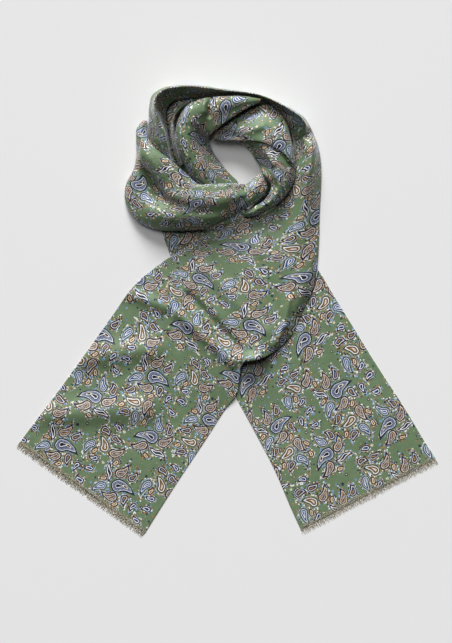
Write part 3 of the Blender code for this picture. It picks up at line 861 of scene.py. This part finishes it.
def paisley_group():
    """The printed colour at a place on the cloth, which is given in metres."""
    group, tree, given, result = new_group("paisley", {"Cloth": "vector"}, {"Colour": "colour"})
    straight = tree.scaled(given["Cloth"], 1 / MM)
    uneven = tree.noise(straight, 1 / WOBBLE_ACROSS, detail=0.5)["Color"]
    wobble = tree.vector("SUBTRACT", uneven, (0.5, 0.5, 0.5))
    cloth = tree.vector("ADD", straight, tree.scaled(wobble, 2 * WOBBLE))
    kept, distance = placed_motifs(tree, cloth)
    x, y, motif = tree.split(kept)
    dots = tree.math("LESS_THAN", tree.cells(tree.scaled(cloth, 1 / DOT_SPACING))["Distance"], DOT_RADIUS)
    depth = tree.times(distance, -1.0)

    printed = colour("ground")
    specks, speck_colour = scattered(tree, cloth, SPECK_SPACING, SPECK_SHARE, SPECK_RADIUS, petals=4)
    printed = tree.blend(specks, printed, speck_colour)
    florets, floret_colour = scattered(tree, cloth, FLORET_SPACING, FLORET_SHARE, FLORET_RADIUS, petals=5)
    printed = tree.blend(florets, printed, floret_colour)
    printed = tree.blend(within(tree, distance, *BARE_LINE), printed, colour("ground"))

    cell = tree.cells(tree.scaled(cloth, 1 / HALO_SPACING))
    red, green, _ = tree.fed("ShaderNodeSeparateColor", (cell["Color"],)).outputs
    reach = tree.math("DIVIDE", distance, HALO_REACH[1])
    crowded = tree.math("SUBTRACT", 1.0, tree.times(reach, reach))
    kept_dots = tree.math("LESS_THAN", red, crowded)
    round_dots = tree.math("LESS_THAN", cell["Distance"], HALO_RADIUS)
    smaller = among(tree, motif, "mate", "seed")
    around = tree.times(smaller, within(tree, distance, *HALO_REACH), kept_dots, round_dots)
    printed = tree.blend(around, printed, tree.steps(green, HALO_STOPS))

    patch = tree.noise(straight, 1 / RIM_PATCH, detail=0.0)["Fac"]
    rim = tree.times(smaller, within(tree, distance, 0.0, RIM_WIDTH))
    printed = tree.blend(rim, printed, tree.steps(patch, RIM_STOPS))

    large = among(tree, motif, "large", "large")
    ticks = tree.math("LESS_THAN", tree.math("FRACT", tree.math("DIVIDE", y, TICK_SPACING)), 0.5)
    beside = tree.times(large, within(tree, distance, *TICKS_OFF), within(tree, y, *TICKS_ALONG))
    printed = tree.blend(tree.times(ticks, beside), printed, colour("sky"))

    bands = banded(tree, tree.math("MAXIMUM", depth, 0.0), motif)
    dotted = tree.times(dots, within(tree, depth, *DOTTED_DEPTHS), among(tree, motif, "large", "mate"))
    bands = tree.blend(dotted, bands, colour("lavender"))
    from_eye = tree.vector("LENGTH", tree.joined(x, tree.math("SUBTRACT", y, SECOND_EYE_AT)))
    for radius, ring in ((SECOND_EYE_RING, "cream"), (SECOND_EYE_RADIUS, "ink")):
        inside = tree.times(large, tree.math("LESS_THAN", from_eye, radius))
        bands = tree.blend(inside, bands, colour(ring))

    outline = tree.math("LESS_THAN", depth, BROKEN_DEPTH)
    bare = tree.math("SUBTRACT", 1.0, dots)
    gaps = tree.times(among(tree, motif, "halo", "glow"), outline, bare)
    covered = tree.times(tree.math("GREATER_THAN", depth, 0.0), tree.math("SUBTRACT", 1.0, gaps))
    printed = tree.blend(covered, printed, bands)
    tree.feed(result["Colour"], printed)
    return group


def creased(points, creases):
    """The points, lifted or lowered by the creases near them."""
    for from_x, from_y, to_x, to_y, height, half_width in creases:
        start, end = on_plan(from_x, from_y)[:2], on_plan(to_x, to_y)[:2]
        along = end - start
        share = np.clip((points[..., :2] - start) @ along / np.dot(along, along), 0.0, 1.0)
        off = np.linalg.norm(points[..., :2] - start - share[..., None] * along, axis=-1)
        points[..., 2] += height * MM * np.exp(-((off / (half_width * MM)) ** 2))
    return points


def cloth_measure(points, start):
    """Where each point is on the cloth, in metres across and along it."""
    steps = np.linalg.norm(np.diff(points, axis=1), axis=2)
    across = np.concatenate([np.zeros((len(points), 1)), np.cumsum(steps, axis=1)], axis=1)
    middle = points[:, points.shape[1] // 2]
    along = np.repeat(running_length(middle)[:, None], points.shape[1], axis=1)
    return np.stack([across + start[0], along + start[1]], axis=2)


def surface_through(points, measure, fray=None):
    """A surface through the points, with its map of the cloth, facing up where it is highest."""
    along, across = points.shape[0] - 1, points.shape[1] - 1
    bm = bmesh.new()
    cloth_map = bm.loops.layers.uv.new(CLOTH_MAP)
    worn = bm.verts.layers.float.new(FRAY)
    bmesh.ops.create_grid(bm, x_segments=along, y_segments=across, size=0.5)
    where = {}
    for vertex in bm.verts:
        i = round((vertex.co.x + 0.5) * along)
        j = round((vertex.co.y + 0.5) * across)
        where[vertex] = (i, j)
        vertex.co = Vector(points[i, j])
        if fray is not None:
            vertex[worn] = fray[i, j]
    for face in bm.faces:
        for corner in face.loops:
            corner[cloth_map].uv = measure[where[corner.vert]]
    bm.normal_update()
    highest = max(bm.faces, key=lambda face: face.calc_center_median().z)
    if highest.normal.z < 0:
        bmesh.ops.reverse_faces(bm, faces=bm.faces[:])
    return bm


def new_object(name, shape):
    """An object in the scene, with a mesh, a curve, a light or a camera."""
    made = bpy.data.objects.new(name, shape)
    bpy.context.scene.collection.objects.link(made)
    return made


def object_of(name, bm, finish):
    """A smooth-shaded object made of the bmesh, which is used up."""
    mesh = bpy.data.meshes.new(name)
    bm.to_mesh(mesh)
    bm.free()
    mesh.materials.append(finish)
    mesh.shade_smooth()
    return new_object(name, mesh)


def stands_for(made, node):
    """Lets a piece take the place of a solid."""
    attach(made, "root")
    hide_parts(node)


def cloth_piece(node, points, start, finish, fray=None):
    """A doubled layer of silk whose outer face passes the points, with rounded edges."""
    made = object_of(node + "_cloth", surface_through(points, cloth_measure(points, start), fray), finish)
    wall = made.modifiers.new("wall", "SOLIDIFY")
    wall.thickness = WALL
    wall.offset = -1
    wall.use_quality_normals = True
    rounding = made.modifiers.new("rounding", "BEVEL")
    rounding.width = ROUNDING
    rounding.segments = 2
    rounding.limit_method = "ANGLE"
    rounding.angle_limit = ROUNDED_FROM
    stands_for(made, node)
    return made


def wound_points(rows, places, creases, along, across):
    """The points of a stretch that is wound round the neck, with its edges turned under."""
    lines = [(*row[0:4], *at) for row, at in zip(rows, places)]
    places = between_rows(lines, along)[:, 4:]
    sections = [section(row, at, True, across) for row, at in zip(between_rows(rows, along), places)]
    points = creased(np.array(sections), creases)
    points[..., 2] = np.maximum(points[..., 2], 0.0)
    return points


def flat_points(rows, places, creases, along, across):
    """The points of an end that lies flat, with its soft creases."""
    points = np.array([section(row, places, False, across) for row in between_rows(rows, along)])
    raised = points[..., 2] > WALL + HAIR
    lifted = creased(points.copy(), creases)
    points[..., 2] = np.where(raised, np.maximum(lifted[..., 2], WALL), WALL)
    return points


def fray_of(points):
    """How frayed an end is at each point: 1 at its cut edge, 0 a little way in."""
    along = running_length(points[:, points.shape[1] // 2])
    share = np.clip(1.0 - along / FRAY_DEPTH, 0.0, 1.0)
    return np.repeat(share[:, None], points.shape[1], axis=1)


def fold_points(along, across):
    """The points of the narrow fold that stands between two turns."""
    crest = smooth_line([on_plan(x, y, height * MM) for x, y, height in STANDING_FOLD], along + 1)
    sections = []
    for point, ahead in zip(crest, np.gradient(crest, axis=0)):
        side = np.array([-ahead[1], ahead[0], 0.0])
        side *= FOLD_HALF_WIDTH / np.linalg.norm(side)
        foot = np.array([point[0], point[1], FOLD_FOOT])
        shoulder = np.array([point[0], point[1], FOLD_SHOULDER_HEIGHT * point[2]])
        left = [foot + side, shoulder + side * FOLD_SHOULDER_WIDTH]
        right = [shoulder - side * FOLD_SHOULDER_WIDTH, foot - side]
        knots = left + [point] + right
        sections.append(evenly_spaced(smooth_line(knots, FINE_POINTS), across))
    return np.array(sections)


def hidden_piece(along, across, start, finish):
    """The layers under the turns, as one low rounded solid."""
    rows = [(*ends, *(height * share for share in LAYERS_SHARES)) for *ends, height in HIDDEN_LAYERS]
    points = np.array([section(row, LAYERS_PLACES, False, across) for row in between_rows(rows, along)])
    bm = surface_through(points, cloth_measure(points, start))
    made = bmesh.ops.extrude_face_region(bm, geom=bm.faces[:], use_keep_orig=True)
    for item in made["geom"]:
        if isinstance(item, bmesh.types.BMVert):
            item.co.z = 0.0
    bmesh.ops.recalc_face_normals(bm, faces=bm.faces[:])
    piece = object_of("hidden_layers_cloth", bm, finish)
    stands_for(piece, "hidden_layers")
    return piece


def fringe(node, end_row, finish, draw):
    """The drawn threads of one end, which spread over each other as they run out."""
    first, second = on_plan(*end_row[0:2]), on_plan(*end_row[2:4])
    length = np.linalg.norm(second - first)
    across = (second - first) / length
    out = np.array([across[1], -across[0], 0.0])
    curve = bpy.data.curves.new(node + "_threads", "CURVE")
    curve.dimensions = "3D"
    curve.bevel_depth = THREAD_RADIUS
    curve.bevel_resolution = 1
    curve.use_fill_caps = True
    count = round(length / THREAD_SPACING)
    for index in range(count):
        share = (index + draw.uniform(*THREAD_PLACES)) / count
        reach = FRINGE_LENGTH * draw.uniform(SHORTEST_THREAD, 1.0)
        lean = draw.gauss(0, THREAD_LEAN) * MM
        sway = draw.gauss(0, THREAD_SWAY) * MM
        height = THREAD_RADIUS + WALL * draw.uniform(*ROOT_HEIGHTS)
        spline = curve.splines.new("POLY")
        spline.points.add(THREAD_POINTS - 1)
        for step, point in enumerate(spline.points):
            t = step / (THREAD_POINTS - 1)
            place = first + across * (share * length + lean * t * t + sway * math.sin(math.pi * t))
            place = place + out * (t * reach - THREAD_ROOT)
            wave = THREAD_WAVE * math.sin(WAVE_TURNS * t + index)
            place[2] = max(THREAD_RADIUS, height * (1 - THREAD_DROP * t) + wave)
            point.co = (*place, 1.0)
            point.radius = 1.0 - THREAD_THINNING * t
    curve.materials.append(finish)
    made = new_object(node + "_threads", curve)
    stands_for(made, node)
    return made


def new_material(name, settings):
    """A material, its Tree and the inputs of its shader. Settings are plain values by the input's name."""
    made = bpy.data.materials.new(name)
    made.use_nodes = True
    inputs = made.node_tree.nodes["Principled BSDF"].inputs
    for socket, value in settings.items():
        inputs[socket].default_value = value
    return made, Tree(made.node_tree), inputs


def silk():
    """Printed silk twill, with a soft sheen, and worn bare in patches along its cut ends."""
    made, tree, inputs = new_material("printed_silk", {
        "Roughness": 0.5, "Specular IOR Level": 0.4, "Sheen Weight": 0.25, "Sheen Roughness": 0.35,
    })
    cloth = tree.node("ShaderNodeUVMap", uv_map=CLOTH_MAP).outputs[0]
    printed = tree.placed(paisley_group(), {"Cloth": cloth})["Colour"]
    fray = tree.node("ShaderNodeAttribute", attribute_name=FRAY).outputs["Fac"]
    in_mm = tree.scaled(cloth, 1 / MM)
    uneven = tree.noise(in_mm, 1 / FRAY_PATCH)["Fac"]
    frayed = tree.math("ADD", fray, tree.times(uneven, FRAY_UNEVENNESS))
    worn = tree.math("GREATER_THAN", frayed, FRAYED_FROM)
    bare = tree.steps(tree.noise(in_mm, 1 / BARE_PATCH)["Fac"], THREAD_STOPS)
    shown = tree.blend(tree.times(worn, BARE_SHARE), printed, bare)
    mottle = tree.noise(in_mm, 1 / SHADE_PATCH, detail=3.0)["Fac"]
    shade = tree.math("MULTIPLY_ADD", mottle, SHADE_RANGE, DARKEST_SHADE)
    shown = tree.vector("MULTIPLY", shown, tree.joined(shade, shade, shade))
    tree.feed(inputs["Base Color"], shown)
    tree.feed(inputs["Normal"], tree.placed(weave_group(), {"Cloth": cloth})["Normal"])
    return made


def weave_group():
    """The relief of the twill's diagonal ribs, and of the small unevenness of pressed silk."""
    group, tree, given, result = new_group("weave", {"Cloth": "vector"}, {"Normal": "vector"})
    in_mm = tree.scaled(given["Cloth"], 1 / MM)
    x, y, _ = tree.split(in_mm)
    diagonal = tree.math("MULTIPLY_ADD", x, TWILL_ACROSS, tree.times(y, TWILL_ALONG))
    ribs = tree.math("SINE", tree.times(diagonal, 2 * math.pi / TWILL_SPACING))
    soft = tree.noise(in_mm, 1 / UNEVEN_PATCH)["Fac"]
    height = tree.math("MULTIPLY_ADD", soft, UNEVEN_HEIGHT, tree.times(ribs, RIB_HEIGHT))
    relief = {"Strength": RELIEF_STRENGTH, "Distance": MM, "Height": height}
    tree.feed(result["Normal"], tree.used(tree.node("ShaderNodeBump"), relief)["Normal"])
    return group


def yarn():
    """Loose threads, each in one of the print's colours gone pale."""
    made, tree, inputs = new_material("silk_threads", {"Roughness": 0.75, "Sheen Weight": 0.3})
    place = tree.scaled(tree.node("ShaderNodeTexCoord").outputs["Object"], 1 / MM)
    patch = tree.noise(place, 1 / THREAD_PATCH, detail=1.0)["Fac"]
    tree.feed(inputs["Base Color"], tree.steps(patch, THREAD_STOPS))
    return made


def studio():
    """A pale floor, a low light from the top, a high one from the upper left, and the camera above."""
    scene = bpy.context.scene
    scene.view_settings.view_transform = "Standard"
    bm = bmesh.new()
    bmesh.ops.create_grid(bm, x_segments=1, y_segments=1, size=FLOOR_HALF)
    pale = (FLOOR_SHADE, FLOOR_SHADE, FLOOR_SHADE, 1.0)
    settings = {"Base Color": pale, "Roughness": FLOOR_ROUGHNESS, "Specular IOR Level": 0.2}
    object_of("floor", bm, new_material("pale_floor", settings)[0])
    world = bpy.data.worlds.new("studio")
    world.use_nodes = True
    sky = world.node_tree.nodes["Background"]
    sky.inputs["Color"].default_value = (1.0, 1.0, 1.0, 1.0)
    sky.inputs["Strength"].default_value = FILL_STRENGTH
    scene.world = world
    for name, turn, height, size, power in LIGHTS:
        turn, height = math.radians(turn), math.radians(height)
        level = LIGHT_DISTANCE * math.cos(height)
        place = Vector((level * math.sin(turn), level * math.cos(turn), LIGHT_DISTANCE * math.sin(height)))
        lamp = bpy.data.lights.new(name, "AREA")
        lamp.size = size
        lamp.energy = power
        made = new_object(name, lamp)
        made.location = place
        made.rotation_euler = (-place).to_track_quat("-Z", "Y").to_euler()
    camera = bpy.data.cameras.new("camera")
    camera.lens = CAMERA_LENS
    camera.clip_end = CAMERA_SIGHT
    scene.camera = new_object("camera", camera)
    scene.camera.location = (*on_plan(*CAMERA_OVER)[:2], CAMERA_HEIGHT)


def main():
    """Makes every piece. Grids count squares along and across; starts are metres on the cloth."""
    draw = random.Random(THREAD_SEED)
    studio()
    cloth, threads = silk(), yarn()
    for name, rows, places, creases, grid, start in (
        ("right_tail", RIGHT_TAIL, RIGHT_TAIL_PLACES, RIGHT_CREASES, (110, 60), (0.0, 0.043)),
        ("left_tail", LEFT_TAIL, LEFT_TAIL_PLACES, LEFT_CREASES, (240, 120), (0.033, 0.0)),
    ):
        points = flat_points(rows, places, creases, *grid)
        cloth_piece(name, points, start, cloth, fray_of(points))
    for name, rows, places, creases, grid, start in (
        ("front_band", *front_band_rows(), BAND_CREASES, (170, 80), (0.02, 0.52)),
        ("lower_turn", *same_places(LOWER_TURN, LOWER_PLACES), LOWER_CREASES, (90, 60), (0.15, 0.74)),
        ("middle_turn", *same_places(MIDDLE_TURN, MIDDLE_PLACES), MIDDLE_CREASES, (90, 60), (0.12, 0.86)),
        ("inner_turn", *same_places(INNER_TURN, INNER_PLACES), TURN_CREASES, (140, 64), (0.05, 0.61)),
        ("outer_turn", *outer_turn_rows(), (), (190, 64), (0.08, 0.93)),
    ):
        cloth_piece(name, wound_points(rows, places, creases, *grid), start, cloth)
    cloth_piece("standing_fold", fold_points(70, 30), (0.18, 0.4), cloth)
    hidden_piece(70, 30, (0.09, 0.31), cloth)
    threads_left = fringe("left_fringe", LEFT_TAIL[0], threads, draw)
    threads_right = fringe("right_fringe", RIGHT_TAIL[0], threads, draw)


main()
